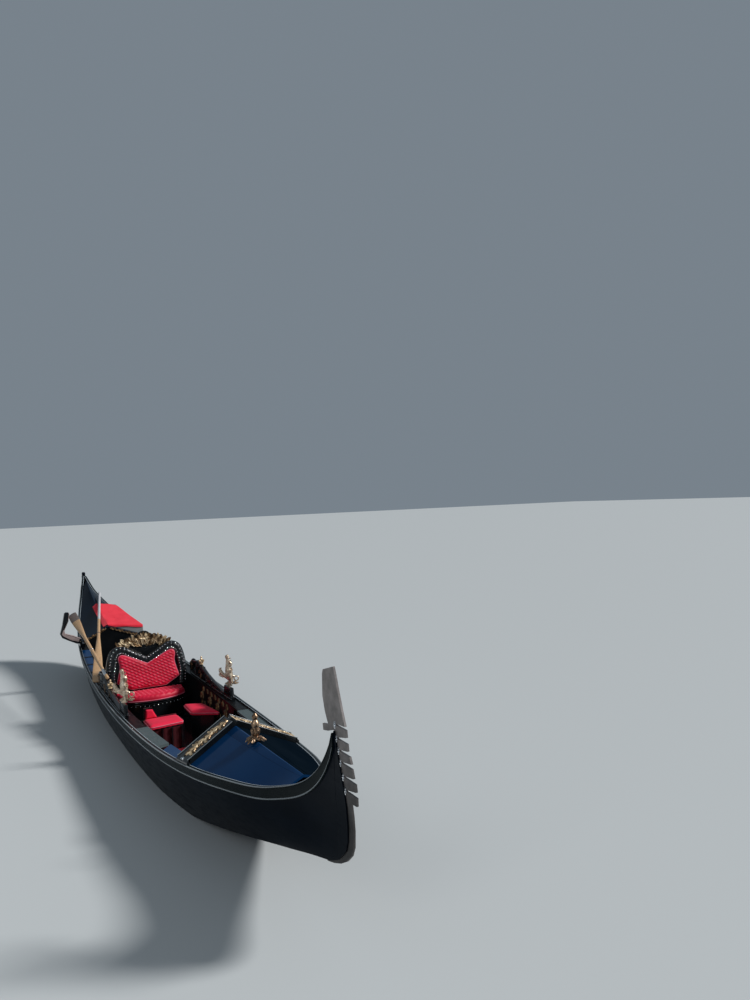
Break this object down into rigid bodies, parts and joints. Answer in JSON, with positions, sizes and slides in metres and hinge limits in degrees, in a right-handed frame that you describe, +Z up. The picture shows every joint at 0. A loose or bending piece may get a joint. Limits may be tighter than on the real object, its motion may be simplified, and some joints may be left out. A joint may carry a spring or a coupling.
{
  "type": "gondola boat",
  "caption": "Long, narrow, flat bottomed rowing boat with decked ends, a toothed bow iron, a cushioned couch, low chairs, carved arm rails, a rowlock and oars.",
  "frame": {"origin": "under the flat bottom amidships, on the straight line from the stem to the sternpost", "axes": "+X towards the bow, +Y to port, +Z up; the flat of the bottom lies on Z = 0"},
  "size_m": [10.95, 1.502, 1.79],
  "materials": {
    "black": "high gloss black paint over wood",
    "deck": "very high gloss black blue lacquer over wood",
    "moulding": "high gloss black paint, light grey mouldings",
    "iron": "dark grey forged iron, rubbed bright at its edges",
    "brass": "cast brass, polished",
    "gilt": "gilding over carved wood",
    "red": "deep red woven cover",
    "carpet": "bright red carpet",
    "grey": "grey green paint, worn and dull",
    "oak": "bare pale wood, oiled"
  },
  "bodies": {
    "root": {"hull_bottom_aft": "black", "hull_bottom_middle": "black", "hull_bottom_fore": "black", "side_planks_starboard_aft": "black", "side_planks_starboard_middle": "black", "side_planks_starboard_fore": "black", "side_planks_port_aft": "black", "side_planks_port_middle": "black", "side_planks_port_fore": "black", "gunwale_starboard": "moulding", "gunwale_port": "moulding", "stem": "black", "bow_iron": "iron", "sternpost": "black", "stern_iron": "iron", "fore_deck": "deck", "aft_deck": "deck", "breasthook": "moulding", "fore_bulkhead": "black", "aft_bulkhead": "black", "border_board_starboard": "black", "border_board_port": "black", "standing_platform": "grey", "platform_carpet": "carpet", "side_deck_starboard": "black", "side_board_aft_starboard": "grey", "side_board_fore_starboard": "grey", "corner_board_starboard": "deck", "side_deck_port": "black", "side_board_aft_port": "grey", "side_board_fore_port": "grey", "corner_board_port": "deck", "floor_timbers": "oak", "floor_boards": "black", "floor_carpet": "red", "lining_starboard": "black", "lining_port": "black", "aft_thwart": "black", "couch_base": "black", "couch_seat": "red", "couch_back": "black", "couch_back_cushion": "red", "couch_rear_board": "black", "crest": "gilt", "chair_starboard_seat": "red", "chair_port_seat": "red", "chair_starboard": "black", "chair_port": "black", "chair_starboard_back": "black", "arm_rail_starboard": "black", "arm_rail_port": "black", "seahorse_starboard": "brass", "seahorse_port": "brass", "ridge_figure": "brass", "rail_finial_starboard": "gilt", "rail_finial_port": "gilt", "rowlock_block": "black", "rowlock": "oak", "oar_short": "oak", "oar_long": "oak"}
  },
  "joints": []
}
